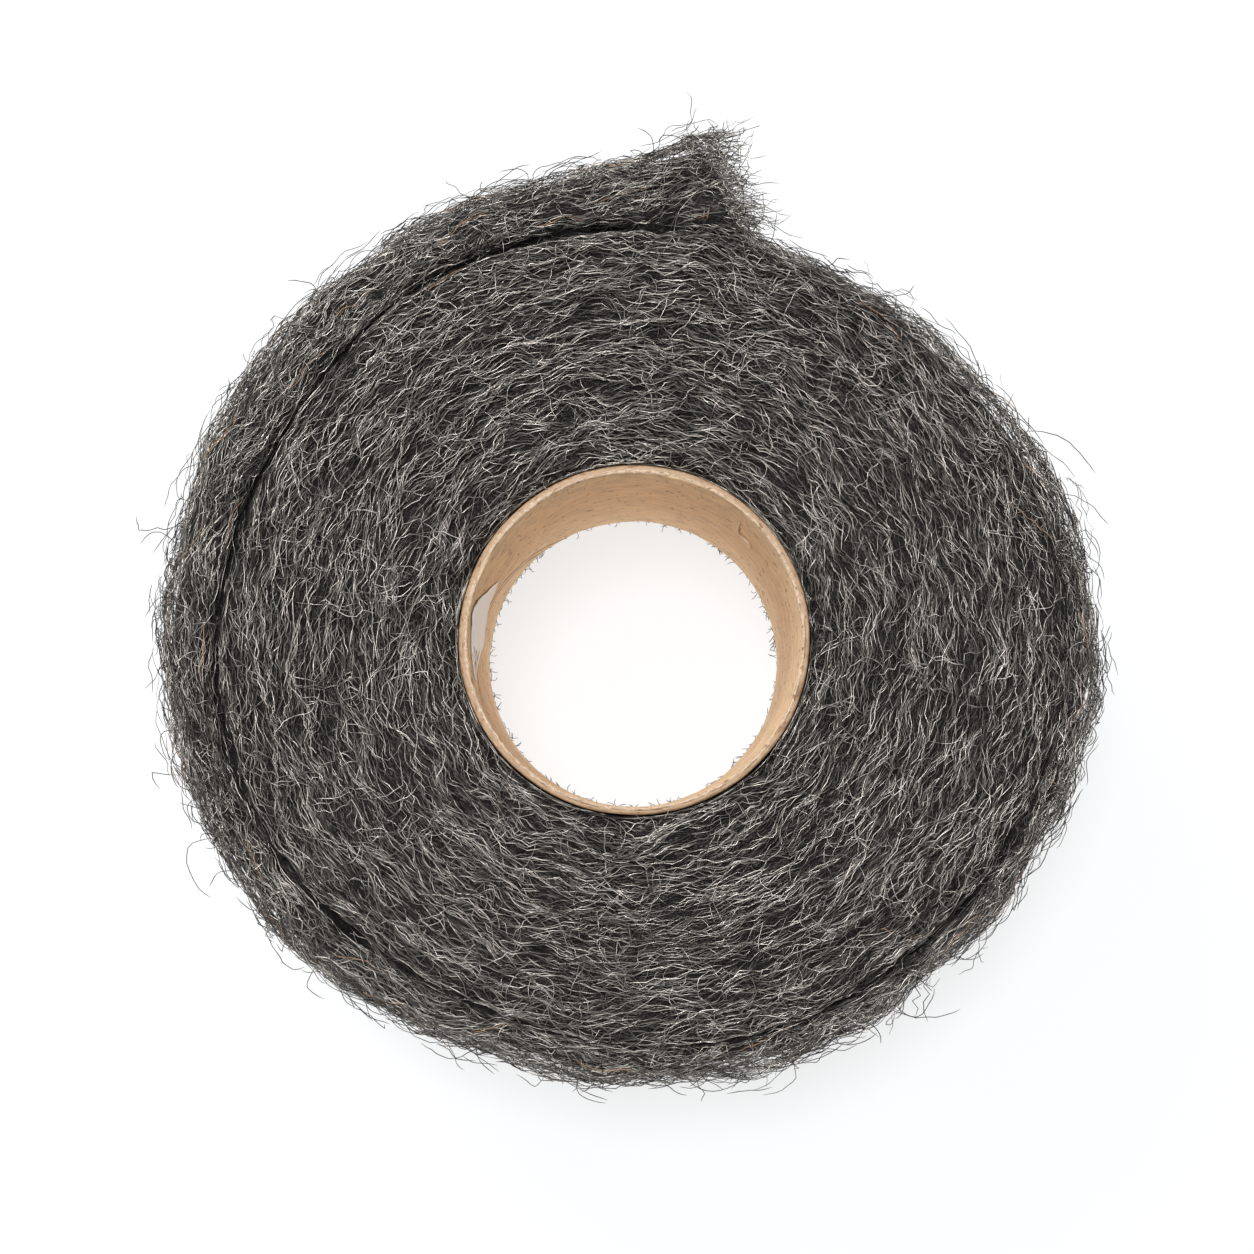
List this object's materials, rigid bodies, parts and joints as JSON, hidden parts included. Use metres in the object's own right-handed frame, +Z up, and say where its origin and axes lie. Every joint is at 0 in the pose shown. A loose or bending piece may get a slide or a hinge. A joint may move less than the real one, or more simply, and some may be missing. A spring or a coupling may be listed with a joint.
{
  "type": "steel wool roll",
  "caption": "Roll of steel wool wound on a paperboard core, lying on its end, with a frayed loose end, stray fibres and a scrap of clear tape inside the core.",
  "frame": {"origin": "middle of the base, where the roll's end face lies on the bench; the core's axis is 0.6 mm towards +X and 4.0 mm towards -Y of it, because the loose end stands out at the back", "axes": "+Z up along the core's axis, +Y towards the loose end at the back, +X to the right seen from the front"},
  "size_m": [0.1424, 0.142, 0.075],
  "materials": {
    "steel_wool": "fine steel fibres, oiled dark grey, with a few rust-brown strands",
    "paperboard": "plain kraft paperboard with frayed pale cut edges",
    "clear_tape": "hazy clear film"
  },
  "bodies": {
    "root": {"wool_roll": "steel_wool", "core_tube": "paperboard", "tape_patch": "clear_tape"}
  },
  "joints": []
}
